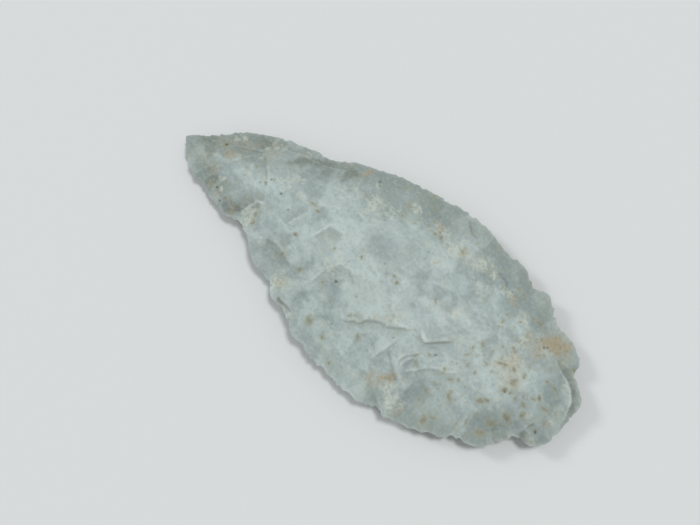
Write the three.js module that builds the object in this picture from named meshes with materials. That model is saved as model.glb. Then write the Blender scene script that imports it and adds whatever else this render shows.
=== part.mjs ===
import * as THREE from "three";

// A chipped stone blade lying flat, in millimetres with +Z up. +X runs from the pointed
// tip to the blunt base. The origin is under the middle of the blade, at the level it lies on.

// Plan outline, counter-clockwise from the tip: each point is a bump, a nick or a bend
const OUTLINE = [
  [-56.5, -2.4], [-54.0, -5.1], [-49.0, -8.5], [-44.0, -9.3], [-36.2, -11.6], [-30.8, -10.9],
  [-26.6, -12.3], [-24.6, -14.2], [-21.5, -16.0], [-15.3, -17.3], [-13.8, -19.2], [-7.5, -20.8],
  [-3.0, -23.4], [0.4, -23.8], [4.2, -24.9], [9.2, -25.0], [13.0, -25.6], [18.0, -25.2],
  [21.2, -23.9], [24.0, -24.4], [32.0, -21.9], [37.4, -19.2], [38.4, -17.9], [43.7, -16.5],
  [47.5, -12.2], [49.7, -8.9], [53.2, -8.8], [56.0, -4.8], [56.3, 0.0], [56.3, 6.2],
  [52.4, 10.0], [50.5, 13.8], [46.0, 16.4], [42.2, 16.9], [39.5, 19.5], [36.5, 21.4],
  [32.8, 21.0], [28.5, 23.4], [22.5, 23.5], [19.0, 25.1], [13.0, 25.6], [4.0, 25.0],
  [-9.0, 22.3], [-19.0, 18.3], [-25.0, 14.9], [-29.0, 14.8], [-35.5, 12.6], [-41.5, 10.1],
  [-46.6, 6.8], [-52.7, 0.8],
];

// The thickness follows a leaf with the nicks softened away: how many times the points are
// softened, how far in from the edge the leaf takes over, and how far a bump may pass it
const SOFTENINGS = 4;
const LEAF_TAKES_OVER = 0.45;
const MAX_STRETCH = 1.06;

// Crest line of both faces, from near the tip to near the base
const SPINE_TIP = [-44, -1.5];
const SPINE_BASE = [36, 0];

// Lens section: rise and drop from the edge line, and the curve of each face
const TOP_RISE = 4.7;
const UNDER_DROP = 4.6;
const TOP_POWER = 2.0;
const UNDER_POWER = 2.6;

// Thickness falls away from its thickest station toward both ends
const THICKEST_X = 7;
const TAPER = 0.48;
const TAPER_RUN = 50;

// Height of the edge line over the surface the blade lies on
const EDGE_HEIGHT = 4.3;
const TIP_SINK = 1.4;
const BASE_SINK = 0.3;
const SINK_START = 15;
const SINK_END = 56;

// The edge line rises and sinks in waves, and a longer wave keeps them from being regular
const EDGE_WAVE = { size: 0.35, length: 15 };
const EDGE_WANDER = { size: 4, length: 45 };

// Flake scars: where the deepest point lies along a scar, how far its hollow reaches back
// past the edge, and how deep into the face the two faces are eased together at the edge
const BULB = 0.3;
const BACK_REACH = 0.65;
const EDGE_EASE = 0.2;

// Waves that keep the scars from being neat ovals, and where along x and y they start
const BROAD_WAVE = { size: 0.8, length: 19 };
const FINE_WAVE = { size: 0.5, length: 9 };
const BROAD_START = [1, 4];
const FINE_START = [3, 6];

// Scars of the upper face that show singly: struck at the edge, ending inside the face
const SINGLE_SCARS = [
  { from: [-46.5, 7.5], to: [-40.5, 0.5], width: 10, depth: 0.75, end: 2 },
  { from: [-45.0, -9.6], to: [-38.0, 4.5], width: 11, depth: 0.85, end: 3 },
  { from: [-31.0, -11.5], to: [-28.5, -5.0], width: 7, depth: 0.70, end: 2 },
  { from: [-24.0, 15.5], to: [-14.0, -4.0], width: 15, depth: 0.50, end: 2 },
  { from: [-18.0, -17.5], to: [-18.5, -9.4], width: 13, depth: 0.85, end: 4 },
  { from: [-12.0, -20.5], to: [-10.0, 1.8], width: 12, depth: 0.60, end: 2 },
  { from: [2.0, -25.0], to: [-3.5, -4.2], width: 15, depth: 0.75, end: 2 },
  { from: [8.0, 26.0], to: [4.0, 0.0], width: 22, depth: 0.40, end: 3 },
  { from: [17.0, -25.6], to: [9.5, -8.6], width: 17, depth: 0.70, end: 6 },
  { from: [20.5, -24.4], to: [15.8, -11.8], width: 8, depth: 1.20, end: 2 },
  { from: [34.0, -21.0], to: [21.5, -4.6], width: 11, depth: 0.65, end: 6 },
  { from: [36.5, -20.0], to: [24.5, -10.5], width: 12, depth: 0.85, end: 3 },
  { from: [50.5, 13.5], to: [18.5, -12.0], width: 12, depth: 0.50, end: 4 },
  { from: [54.5, 8.6], to: [48.8, 8.4], width: 10, depth: 1.30, end: 3 },
  { from: [56.4, 1.5], to: [52.2, 1.8], width: 11, depth: 1.20, end: 3 },
  { from: [50.0, -9.0], to: [49.8, -3.0], width: 4.5, depth: 0.80, end: 2 },
];

// Rows of scars side by side along an edge: reach is the share of the way to the crest,
// lean slants the row, and width is in spacings of the row
const TOP_ROWS = [
  { side: 1, start: -43, stop: 50, count: 9, reach: 0.8, lean: -0.25, depth: 0.5, seed: 11 },
  { side: -1, start: -50, stop: 48, count: 12, reach: 0.35, lean: 0.1, depth: 0.4, seed: 29 },
];
const UNDER_ROWS = [
  { side: 1, start: -50, stop: 50, count: 9, reach: 0.6, lean: 0.2, depth: 0.55, seed: 47 },
  { side: -1, start: -48, stop: 50, count: 8, reach: 0.6, lean: -0.2, depth: 0.55, seed: 83 },
];
const ROW_WIDTH = 1.7;
const ROW_END = 2.5;

// How far the scars of a row differ from one another, as shares of the usual
const PLACE_SPREAD = [0.3, 0.7];
const LENGTH_SPREAD = [0.75, 1.25];
const WIDTH_SPREAD = [0.85, 1.15];
const DEPTH_SPREAD = [0.7, 1.3];

// Mesh fineness: stations along the crest, rays fanned round each end, rings edge to crest
const SIDE_STEPS = 54;
const TIP_RAYS = 14;
const BASE_RAYS = 40;
const RINGS = 12;
const RING_CROWDING = 1.2;
const SPAN_STEPS = 12;

const RANDOM_FACTOR = 16807;
const RANDOM_MODULUS = 2147483647;

const { lerp, smoothstep } = THREE.MathUtils;

// Repeatable picks between a low and a high value
function pickerFrom(seed) {
  let state = seed;
  return ([low, high]) => {
    state = (state * RANDOM_FACTOR) % RANDOM_MODULUS;
    return lerp(low, high, state / RANDOM_MODULUS);
  };
}

// A smooth closed curve through points, sampled into short straight pieces
function trace(points) {
  const knots = points.map(([x, y]) => new THREE.Vector3(x, y, 0));
  const curve = new THREE.CatmullRomCurve3(knots, true, "centripetal");
  return curve.getPoints(points.length * SPAN_STEPS);
}

// Each point of a loop moved toward its neighbours, a few times over
function soften(points) {
  let loop = points;
  for (let pass = 0; pass < SOFTENINGS; pass += 1) {
    loop = loop.map(([x, y], i) => {
      const before = loop.at(i - 1);
      const after = loop[(i + 1) % loop.length];
      return [(before[0] + 2 * x + after[0]) / 4, (before[1] + 2 * y + after[1]) / 4];
    });
  }
  return loop;
}

const EDGE = trace(OUTLINE);
const LEAF = trace(soften(OUTLINE));

// Distance from a point inside a loop to the loop, along a direction
function reachTo(loop, [ox, oy], [dx, dy]) {
  let reach = 0;
  for (let i = 0; i + 1 < loop.length; i += 1) {
    const a = loop[i];
    const b = loop[i + 1];
    const ex = b.x - a.x;
    const ey = b.y - a.y;
    const cross = dx * ey - dy * ex;
    const along = ((a.x - ox) * ey - (a.y - oy) * ex) / cross;
    const share = ((a.x - ox) * dy - (a.y - oy) * dx) / cross;
    if (share >= 0 && share <= 1 && along > reach) {
      reach = along;
    }
  }
  return reach;
}

function spinePoint(share) {
  return [lerp(SPINE_TIP[0], SPINE_BASE[0], share), lerp(SPINE_TIP[1], SPINE_BASE[1], share)];
}

// Share of the full thickness at a station
function fullness(x) {
  const away = (x - THICKEST_X) / TAPER_RUN;
  return 1 - TAPER * away * away;
}

function wave({ size, length }, place) {
  return size * Math.sin((2 * Math.PI * place) / length);
}

function edgeLine(x) {
  const tipSink = TIP_SINK * smoothstep(-x, SINK_START, SINK_END);
  const baseSink = BASE_SINK * smoothstep(x, SINK_START, SINK_END);
  return EDGE_HEIGHT - tipSink - baseSink;
}

function edgeWave(x, y) {
  return wave(EDGE_WAVE, x + y + wave(EDGE_WANDER, x - y));
}

// A row of scars struck side by side along one long edge
function scarRow({ side, start, stop, count, reach, lean, depth, seed }) {
  const pick = pickerFrom(seed);
  const pitch = (stop - start) / count;
  return Array.from({ length: count }, (_, i) => {
    const x = start + (i + pick(PLACE_SPREAD)) * pitch;
    const share = (x - SPINE_TIP[0]) / (SPINE_BASE[0] - SPINE_TIP[0]);
    const crest = spinePoint(share);
    const toEdge = reachTo(EDGE, crest, [0, side]);
    const length = reach * toEdge * pick(LENGTH_SPREAD);
    return {
      from: [x, crest[1] + side * toEdge],
      to: [x + lean * length, crest[1] + side * (toEdge - length)],
      width: ROW_WIDTH * pitch * pick(WIDTH_SPREAD),
      depth: depth * pick(DEPTH_SPREAD),
      end: ROW_END,
    };
  });
}

const TOP_SCARS = [...SINGLE_SCARS, ...TOP_ROWS.flatMap(scarRow)];
const UNDER_SCARS = UNDER_ROWS.flatMap(scarRow);

// Depth of one scar: a shallow dish, deepest at its bulb, with a blunter end where it stops
function dish({ from, to, width, depth, end }, x, y) {
  const ax = to[0] - from[0];
  const ay = to[1] - from[1];
  const length = Math.hypot(ax, ay);
  const along = ((x - from[0]) * ax + (y - from[1]) * ay) / (length * length);
  const across = ((y - from[1]) * ax - (x - from[0]) * ay) / length;
  const v = across / (width / 2);
  const fall = along < BULB ? ((BULB - along) / BACK_REACH) ** 2 : ((along - BULB) / (1 - BULB)) ** end;
  return depth * Math.max(0, 1 - fall - v * v);
}

// Depth of the deepest scar at a place, shallower where the blade is thinner
function scarDepth(scars, x, y) {
  const wx = x + wave(BROAD_WAVE, y + BROAD_START[0]) + wave(FINE_WAVE, y + x / 2 + FINE_START[0]);
  const wy = y + wave(BROAD_WAVE, x + BROAD_START[1]) + wave(FINE_WAVE, x - y / 2 + FINE_START[1]);
  const deepest = scars.reduce((depth, scar) => Math.max(depth, dish(scar, wx, wy)), 0);
  return deepest * fullness(x);
}

// A column runs from the outline in to the crest. It knows how its length compares with the
// leaf's there, and how deep the scars cut its edge.
function makeColumn(inner, direction, spineIndex) {
  const reach = reachTo(EDGE, inner, direction);
  const outer = [inner[0] + direction[0] * reach, inner[1] + direction[1] * reach];
  const stretch = Math.min(MAX_STRETCH, reach / reachTo(LEAF, inner, direction));
  const ease = (scarDepth(TOP_SCARS, ...outer) + scarDepth(UNDER_SCARS, ...outer)) / 2;
  return { inner, outer, spineIndex, stretch, ease };
}

function fan(centre, startAngle, rays, spineIndex) {
  return Array.from({ length: rays + 1 }, (_, i) => {
    const angle = startAngle + (Math.PI * i) / rays;
    return makeColumn(centre, [Math.cos(angle), Math.sin(angle)], spineIndex);
  });
}

function sideColumn(station, side) {
  return makeColumn(spinePoint(station / SIDE_STEPS), [0, side], station);
}

// Columns in turn round the blade, counter-clockwise: tip, lower side, base, upper side
function makeColumns() {
  const inside = Array.from({ length: SIDE_STEPS - 1 }, (_, i) => i + 1);
  return [
    ...fan(SPINE_TIP, Math.PI / 2, TIP_RAYS, 0),
    ...inside.map((station) => sideColumn(station, -1)),
    ...fan(SPINE_BASE, -Math.PI / 2, BASE_RAYS, SIDE_STEPS),
    ...inside.reverse().map((station) => sideColumn(station, 1)),
  ];
}

const COLUMNS = makeColumns();

// Surface point of one face, in a column, at a share of the way in from the edge
function surfacePoint(column, inward, onTop) {
  const x = lerp(column.outer[0], column.inner[0], inward);
  const y = lerp(column.outer[1], column.inner[1], inward);
  const ease = column.ease * Math.max(0, 1 - inward / EDGE_EASE) ** 2;
  const outward = (1 - inward) * lerp(1, column.stretch, smoothstep(inward, 0, LEAF_TAKES_OVER));
  const middle = edgeLine(x) + edgeWave(x, y) * (1 - inward) ** 2;
  if (onTop) {
    const rise = TOP_RISE * fullness(x) * (1 - outward ** TOP_POWER);
    return new THREE.Vector3(x, y, middle + rise - scarDepth(TOP_SCARS, x, y) + ease);
  }
  const drop = UNDER_DROP * fullness(x) * (1 - outward ** UNDER_POWER);
  return new THREE.Vector3(x, y, Math.max(0, middle - drop + scarDepth(UNDER_SCARS, x, y) - ease));
}

function ringShare(ring) {
  return (ring / RINGS) ** RING_CROWDING;
}

// Vertices and triangles of one face; the outer ring is shared by both faces
function addFace(points, triangles, onTop) {
  const count = COLUMNS.length;
  const first = points.length;
  for (let ring = 1; ring < RINGS; ring += 1) {
    COLUMNS.forEach((column) => points.push(surfacePoint(column, ringShare(ring), onTop)));
  }
  const crest = points.length;
  for (let station = 0; station <= SIDE_STEPS; station += 1) {
    const column = COLUMNS.find((candidate) => candidate.spineIndex === station);
    points.push(surfacePoint(column, 1, onTop));
  }

  const indexOf = (ring, i) => {
    if (ring === 0) {
      return i;
    }
    return ring === RINGS ? crest + COLUMNS[i].spineIndex : first + (ring - 1) * count + i;
  };
  const addTriangle = (a, b, c) => triangles.push(...(onTop ? [a, b, c] : [a, c, b]));

  for (let ring = 0; ring < RINGS; ring += 1) {
    const halfway = (ringShare(ring) + ringShare(ring + 1)) / 2;
    for (let i = 0; i < count; i += 1) {
      const j = (i + 1) % count;
      const [a, b, c, d] = [indexOf(ring, i), indexOf(ring, j), indexOf(ring + 1, j), indexOf(ring + 1, i)];
      if (c === d) {
        addTriangle(a, b, c);
        continue;
      }
      // The four corners are split along the diagonal that lies closer to the surface
      const here = surfacePoint(COLUMNS[i], halfway, onTop).z;
      const next = surfacePoint(COLUMNS[j], halfway, onTop).z;
      const target = here + next;
      const acrossAC = Math.abs(points[a].z + points[c].z - target);
      const acrossBD = Math.abs(points[b].z + points[d].z - target);
      if (acrossAC <= acrossBD) {
        addTriangle(a, b, c);
        addTriangle(a, c, d);
      } else {
        addTriangle(a, b, d);
        addTriangle(b, c, d);
      }
    }
  }
}

function makeBlade() {
  const points = COLUMNS.map((column) => surfacePoint(column, 0, true));
  const triangles = [];
  addFace(points, triangles, true);
  addFace(points, triangles, false);
  const geometry = new THREE.BufferGeometry().setFromPoints(points);
  geometry.setIndex(triangles);
  geometry.computeVertexNormals();
  const chert = new THREE.MeshStandardMaterial({ color: 0xa8b5b0, roughness: 0.7, metalness: 0 });
  const blade = new THREE.Mesh(geometry, chert);
  blade.name = "blade";
  return blade;
}

const object = new THREE.Group();
object.add(makeBlade());

export default object;
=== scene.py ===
import math
from collections import namedtuple

import bpy
import numpy as np
from mathutils import Matrix, Vector


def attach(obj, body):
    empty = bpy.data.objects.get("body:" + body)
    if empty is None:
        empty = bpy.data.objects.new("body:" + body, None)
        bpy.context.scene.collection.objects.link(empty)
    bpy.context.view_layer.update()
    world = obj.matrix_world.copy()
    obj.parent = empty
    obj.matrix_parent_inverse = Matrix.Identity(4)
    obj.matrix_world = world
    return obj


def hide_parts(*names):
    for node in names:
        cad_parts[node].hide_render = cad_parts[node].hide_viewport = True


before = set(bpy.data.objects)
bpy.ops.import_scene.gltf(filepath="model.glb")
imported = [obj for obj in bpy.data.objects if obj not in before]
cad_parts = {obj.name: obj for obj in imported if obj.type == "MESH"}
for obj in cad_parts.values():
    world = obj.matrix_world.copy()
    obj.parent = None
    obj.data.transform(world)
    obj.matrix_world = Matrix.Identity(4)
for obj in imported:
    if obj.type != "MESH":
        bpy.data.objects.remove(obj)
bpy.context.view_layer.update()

# A chipped chert blade. Lengths are in millimetres until the mesh is made, as in the CAD source:
# +X runs from the tip to the base, +Z is up, and the blade lies on z = 0.
MM = 0.001

# Form shared with the CAD solid
OUTLINE = np.array([
    (-56.5, -2.4), (-54.0, -5.1), (-49.0, -8.5), (-44.0, -9.3), (-36.2, -11.6), (-30.8, -10.9),
    (-26.6, -12.3), (-24.6, -14.2), (-21.5, -16.0), (-15.3, -17.3), (-13.8, -19.2), (-7.5, -20.8),
    (-3.0, -23.4), (0.4, -23.8), (4.2, -24.9), (9.2, -25.0), (13.0, -25.6), (18.0, -25.2),
    (21.2, -23.9), (24.0, -24.4), (32.0, -21.9), (37.4, -19.2), (38.4, -17.9), (43.7, -16.5),
    (47.5, -12.2), (49.7, -8.9), (53.2, -8.8), (56.0, -4.8), (56.3, 0.0), (56.3, 6.2),
    (52.4, 10.0), (50.5, 13.8), (46.0, 16.4), (42.2, 16.9), (39.5, 19.5), (36.5, 21.4),
    (32.8, 21.0), (28.5, 23.4), (22.5, 23.5), (19.0, 25.1), (13.0, 25.6), (4.0, 25.0),
    (-9.0, 22.3), (-19.0, 18.3), (-25.0, 14.9), (-29.0, 14.8), (-35.5, 12.6), (-41.5, 10.1),
    (-46.6, 6.8), (-52.7, 0.8),
])
SOFTENINGS = 4
LEAF_TAKES_OVER = 0.45
MAX_STRETCH = 1.06
SPINE_TIP = np.array([-44.0, -1.5])
SPINE_BASE = np.array([36.0, 0.0])
TOP_RISE = 4.7
UNDER_DROP = 4.6
TOP_POWER = 2.0
UNDER_POWER = 2.6
THICKEST_X = 7.0
TAPER = 0.48
TAPER_RUN = 50.0
EDGE_HEIGHT = 4.3
TIP_SINK = 1.4
BASE_SINK = 0.3
SINK_START = 15.0
SINK_END = 56.0
EDGE_WAVE = (0.35, 15.0)
EDGE_WANDER = (4.0, 45.0)
BULB = 0.3
BACK_REACH = 0.65
EDGE_EASE = 0.2
BROAD_WAVE = (0.8, 19.0)
FINE_WAVE = (0.5, 9.0)
BROAD_START = (1.0, 4.0)
FINE_START = (3.0, 6.0)

# Scars that show singly: struck at, ending at, width, depth, bluntness of the end
SINGLE_SCARS = [
    ((-46.5, 7.5), (-40.5, 0.5), 10, 0.75, 2),
    ((-45.0, -9.6), (-38.0, 4.5), 11, 0.85, 3),
    ((-31.0, -11.5), (-28.5, -5.0), 7, 0.70, 2),
    ((-24.0, 15.5), (-14.0, -4.0), 15, 0.50, 2),
    ((-18.0, -17.5), (-18.5, -9.4), 13, 0.85, 4),
    ((-12.0, -20.5), (-10.0, 1.8), 12, 0.60, 2),
    ((2.0, -25.0), (-3.5, -4.2), 15, 0.75, 2),
    ((8.0, 26.0), (4.0, 0.0), 22, 0.40, 3),
    ((17.0, -25.6), (9.5, -8.6), 17, 0.70, 6),
    ((20.5, -24.4), (15.8, -11.8), 8, 1.20, 2),
    ((34.0, -21.0), (21.5, -4.6), 11, 0.65, 6),
    ((36.5, -20.0), (24.5, -10.5), 12, 0.85, 3),
    ((50.5, 13.5), (18.5, -12.0), 12, 0.50, 4),
    ((54.5, 8.6), (48.8, 8.4), 10, 1.30, 3),
    ((56.4, 1.5), (52.2, 1.8), 11, 1.20, 3),
    ((50.0, -9.0), (49.8, -3.0), 4.5, 0.80, 2),
]

# Rows of scars: side, start, stop, count, reach, lean, depth, seed
TOP_ROWS = [(1, -43, 50, 9, 0.8, -0.25, 0.5, 11), (-1, -50, 48, 12, 0.35, 0.1, 0.4, 29)]
UNDER_ROWS = [(1, -50, 50, 9, 0.6, 0.2, 0.55, 47), (-1, -48, 50, 8, 0.6, -0.2, 0.55, 83)]

# Narrow trim scars that lie over the others, listed the same way
TOP_TRIM_ROWS = [(1, -50, 52, 17, 0.55, -0.2, 0.62, 101), (-1, -50, 50, 19, 0.50, 0.25, 0.62, 131)]
UNDER_TRIM_ROWS = [(1, -50, 52, 16, 0.50, 0.2, 0.62, 151), (-1, -50, 50, 18, 0.55, -0.25, 0.62, 171)]

# Scars in a row: width against their spacing, bluntness of the end, and how far each departs
ROW_WIDTH = 1.7
ROW_END = 2.5
PLACE_SPREAD = (0.3, 0.7)
LENGTH_SPREAD = (0.75, 1.25)
WIDTH_SPREAD = (0.85, 1.15)
DEPTH_SPREAD = (0.7, 1.3)

# Fineness of the mesh: stations along the crest, rays round each end, rings on each face
SIDE_STEPS = 300
TIP_RAYS = 90
BASE_RAYS = 200
TOP_RINGS = 72
UNDER_RINGS = 36
RING_CROWDING = 1.1
SPAN_STEPS = 12
SHARP_ANGLE = 70.0

# Share of straight pieces in the outline, which gives it corners
CORNERS = 0.5

# Scars go deeper than in the CAD solid, with rounded ridges, and leave a share of the thickness
RIDGE_ROUNDING = 0.015
SCAR_GAIN = 1.35
THINNEST = 0.35
LIMIT_ROUNDING = 0.6

# Small retouch flakes along the edge: each leaves a shallow bite and a short scar
BITE_PITCH = (1.2, 4.2)
BITE_DEPTH = (0.06, 0.66)
NIBBLE_PITCH = (0.8, 2.2)
NIBBLE_DEPTH = (0.02, 0.36)
BITE_RARITY = 1.8
BITE_SKEW = 0.65
ZIGZAG = (0.30, 2.6)
ZIGZAG_WIDTH = 2.2
RETOUCH_LENGTH = (1.2, 5.0)
RETOUCH_DEPTH = (0.05, 0.60)
RETOUCH_WIDTH = 1.25
RETOUCH_SHARE = 0.60
BITE_SEED = 5

# Ripples and flutes spread from where each flake was struck: height and size
RIPPLE = (0.008, 2.1)
FLUTE = (0.014, 0.9)
FLUTE_REACH = 9.0
FLUTE_LENGTH = 6.0
FULL_MARKS_DEPTH = 0.25
FULL_TINT_DEPTH = 0.12
RIDGE_LINE = 0.035
TINT_SEED = 3

# Surface unevenness: height and size of each grain, how far in from the edge it is full, and pits
GRAINS = [(0.08, 7.0), (0.030, 2.2), (0.016, 0.9)]
TOP_GRAIN_SEED = 310
UNDER_GRAIN_SEED = 300
FULL_TEXTURE = 0.06
PIT_DEPTH = 0.22

# Step lines of the upper face, walked with the low side on the left. drop is the height of the wall, wall
# its width and jag how uneven it is, and run is how far the low side stays low. lip paints a highlight on
# the upper border over lip_width, feather breaks it into fine splinters, soil paints shade at the foot
# and shade paints shade on the low side.
Step = namedtuple("Step", "points drop run wall jag lip soil feather lip_width shade",
                  defaults=(0.4, 0.15, 0.0, 0.0, 0.0, 0.2, 0.35))
STEPS = [
    Step([(18.4, -5.4), (16.5, -6.3), (14.3, -7.7), (12.6, -8.5), (10.2, -9.0), (8.1, -10.7),
          (5.6, -12.5), (2.6, -14.9)],
         0.26, 3.0, 0.30, 0.50, 0.4, 0.55, 0.9, 0.4),
    Step([(26.4, -1.6), (23.2, -4.5), (21.3, -6.3), (20.1, -6.0), (18.6, -4.6)],
         0.24, 2.0, 0.30, 0.08, 0.9, 0.8, 0.0, 0.5),
    Step([(26.0, -1.2), (23.0, -3.9), (20.6, -5.9)], 0.06, 0.5, 0.30, 0.08),
    Step([(22.6, -17.1), (20.5, -15.7), (18.9, -14.7), (17.6, -13.5), (15.8, -12.4)],
         0.46, 3.4, 0.60, 0.10, 0.1, 0.55, shade=0.0),
    Step([(0.6, -4.2), (-1.9, -4.0), (-4.8, -4.6), (-6.7, -8.3), (-8.4, -14.2)],
         0.18, 4.0, 0.50, 0.15, 0.45),
    Step([(-7.6, 1.8), (-12.3, 1.1), (-13.7, -4.0)], 0.16, 4.0, 0.50, 0.15, 0.5),
    Step([(16.3, -8.7), (15.5, -12.2), (13.9, -17.2)], 0.12, 2.5, 0.40, 0.10, 0.5),
    Step([(22.1, -8.9), (20.9, -9.8), (19.7, -11.2), (19.2, -12.7), (19.8, -14.6)],
         0.14, 0.7, 0.40, 0.05, 0.7),
    Step([(21.9, -10.0), (20.8, -11.5), (20.4, -13.0), (20.6, -14.0)], 0.10, 1.8, 0.40, 0.05, 0.4),
    Step([(31.9, -6.3), (29.4, -8.2), (27.4, -8.8), (25.6, -9.7), (24.5, -11.1), (22.7, -13.2),
          (20.7, -15.2)],
         0.18, 3.0, 0.45, 0.12, 0.8),
    Step([(-31.0, 0.2), (-33.9, 3.0), (-36.7, 5.8)], 0.20, 2.4, 0.35, 0.22, 0.1, 0.5),
    Step([(-37.0, 6.6), (-41.3, 4.4), (-45.2, 2.2)], 0.12, 2.0, 0.40, 0.20, 0.2, 0.3),
    Step([(-37.7, 5.1), (-43.5, -2.7)], 0.10, 2.5, 0.40, 0.20, 0.2),
    Step([(-31.6, -10.2), (-31.7, -7.9), (-30.3, -4.6), (-27.6, -3.4)], 0.22, 3.0, 0.50, 0.10, 0.8),
    Step([(-12.4, -12.2), (-14.8, -11.1), (-19.8, -9.8), (-23.5, -10.9)],
         0.30, 3.6, 0.60, 0.25, 0.2, 0.15),
    Step([(-6.5, -19.4), (-12.0, -18.7)], 0.45, 1.6, 0.60, 0.15, 0.0, 0.8, shade=0.6),
    Step([(23.9, -24.3), (20.5, -22.3), (17.5, -19.9), (14.8, -19.2), (12.6, -20.0)],
         0.28, 2.2, 0.50, 0.30, 0.3, 0.3),
    Step([(45.6, 11.0), (48.2, 9.4), (50.8, 8.6), (53.2, 6.9), (54.8, 4.6), (55.7, 1.4), (55.8, -2.4)],
         0.55, 1.5, 0.50, 0.15, 0.7, 0.3, shade=0.65),
    Step([(50.9, -3.8), (50.1, -6.2), (49.4, -8.6)], 0.30, 2.0, 0.50, 0.15, 0.3, 0.5),
    Step([(11.0, 24.3), (13.8, 21.9), (16.1, 21.4)], 0.18, 1.8, 0.40, 0.20, 0.1, 0.7),
    Step([(23.8, 18.3), (27.4, 17.0), (28.7, 14.9)], 0.18, 1.8, 0.40, 0.20, 0.1, 0.6),
    Step([(-37.6, 9.4), (-33.7, 10.9), (-29.5, 12.4), (-25.0, 13.0), (-17.0, 16.6)],
         0.18, 2.6, 0.60, 0.25, 0.2, 0.25, shade=0.3),
    Step([(-20.8, -4.9), (-19.7, -1.8), (-18.7, 1.3)], 0.10, 3.0, 0.50, 0.20, 0.4),
    Step([(-6.8, 7.5), (-10.1, 8.0)], 0.08, 2.0, 0.40, 0.10, 0.7),
    Step([(34.5, 3.3), (33.1, 5.6), (31.7, 7.9)], 0.10, 2.5, 0.40, 0.10, 0.6),
]

# Step lines: faded share at each end, most of the thickness taken, and the size of their marks
STEP_ENDS = 0.18
STEP_SHARE = 0.6
SHADE_REACH = 1.1
JAG_SIZE = 1.1
JAG_SEEDS = (100, 200)
FINEST_LINE = 0.22
FEATHER_WIDTH = 1.3

# Borders: the worn edge, and the patina with painted shade darkening towards the borders, which is weaker
# along the middle of the lower side
WEAR_WIDTH = 0.5
PATINA_AND_SHADE_WIDTH = 16.0
PATINA_AND_SHADE_DRIFT = 5.0
PATINA_AND_SHADE_SEED = 400
PALE_SIDE = 0.48
PALE_FROM_CREST = (2.0, 10.0)
PALE_FROM_TIP = (-40.0, -25.0)
PALE_FROM_BASE = (-40.0, -15.0)

# Spots of colour on the upper face: place and radius, and the strength of stains
STAINS = [
    (44.5, 12.6, 2.6, 1.0), (46.3, 14.0, 1.8, 0.9), (43.0, 12.4, 2.0, 0.8), (39.1, 9.3, 2.6, 0.4),
    (41.9, 9.4, 2.2, 0.5), (48.0, 11.6, 1.4, 0.35), (39.0, 1.9, 3.0, 0.42), (41.3, -1.5, 2.4, 0.35),
    (36.6, 0.8, 1.6, 0.4), (16.5, -18.8, 1.1, 0.6), (18.8, -18.1, 1.2, 0.75), (20.6, -17.2, 1.0, 0.75),
    (17.9, -20.3, 0.9, 0.5), (26.2, -21.2, 1.6, 0.5), (-43.8, 0.4, 1.6, 0.55), (-40.5, 7.7, 1.2, 0.45),
    (-37.3, 9.3, 1.2, 0.45), (-32.5, -6.3, 0.9, 0.5), (-34.4, -9.2, 1.0, 0.5),
    (-39.8, -8.7, 1.1, 0.35), (9.0, -8.8, 0.9, 0.45), (6.8, -11.0, 0.8, 0.45), (12.0, -7.2, 1.4, 0.35),
    (-14.9, 18.0, 0.9, 0.6), (15.0, 16.5, 1.2, 0.5), (52.9, -3.1, 1.1, 0.5), (12.6, 10.8, 0.8, 0.4),
    (-13.4, -15.6, 1.4, 0.35), (-47.5, 3.2, 2.2, 0.30), (-42.0, 5.4, 2.6, 0.28),
    (-36.0, 7.0, 2.2, 0.25), (-44.5, -4.5, 1.8, 0.28), (-2.0, 17.4, 1.1, 0.4), (7.2, 18.2, 1.3, 0.4),
    (22.4, 16.8, 1.1, 0.45), (30.6, 14.6, 1.3, 0.4),
]
FRECKLES = [
    (9.0, 15.9, 0.7), (15.0, 16.2, 0.5), (23.9, -7.4, 0.6), (22.4, -10.9, 0.5), (31.4, 1.8, 0.6),
    (38.9, 14.4, 0.7), (32.0, -7.8, 0.5), (32.6, -11.8, 0.9), (38.6, -8.2, 0.8), (39.4, -7.2, 0.6),
    (41.6, -0.4, 0.8), (41.1, -3.1, 0.8), (36.6, 0.8, 0.6), (37.6, 5.4, 0.6), (42.8, 2.0, 0.6),
    (45.2, -7.2, 0.9), (43.3, -10.5, 0.9), (42.9, -13.6, 1.0), (47.6, -4.7, 0.7), (48.1, 0.7, 0.6),
    (50.6, -0.6, 0.6), (49.7, 4.5, 0.6), (46.1, -2.9, 0.6), (32.8, -17.5, 0.6), (31.4, -19.2, 0.7),
    (28.4, -8.2, 0.6), (33.8, -4.3, 0.4), (38.2, 1.3, 0.6), (40.2, 1.8, 0.6), (-28.5, -7.3, 0.7),
    (-27.9, -9.0, 0.6), (-16.7, -10.7, 0.6), (-42.7, -8.1, 0.7), (-2.2, -18.3, 0.9), (2.5, -19.4, 0.6),
    (-8.1, -2.5, 0.4), (-1.9, -0.2, 0.5), (-19.0, 3.1, 0.5), (-17.1, 2.4, 0.5), (-17.2, -5.3, 0.6),
    (8.8, -14.7, 0.6), (-11.2, -10.9, 0.6), (8.1, 0.2, 0.4), (-46.5, 2.0, 0.7), (-6.0, -21.2, 0.4),
]
PITS = [
    (-11.2, 18.4, 0.32), (-2.9, -8.0, 0.32), (-26.6, 0.1, 0.24), (52.1, -5.6, 0.34),
    (42.7, 10.6, 0.26), (43.3, 11.1, 0.26), (24.8, -6.8, 0.22), (-40.8, -7.7, 0.28),
    (-38.2, -9.8, 0.22), (-32.6, -0.6, 0.17), (-30.9, 1.5, 0.18), (-46.5, 2.2, 0.28),
]
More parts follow.
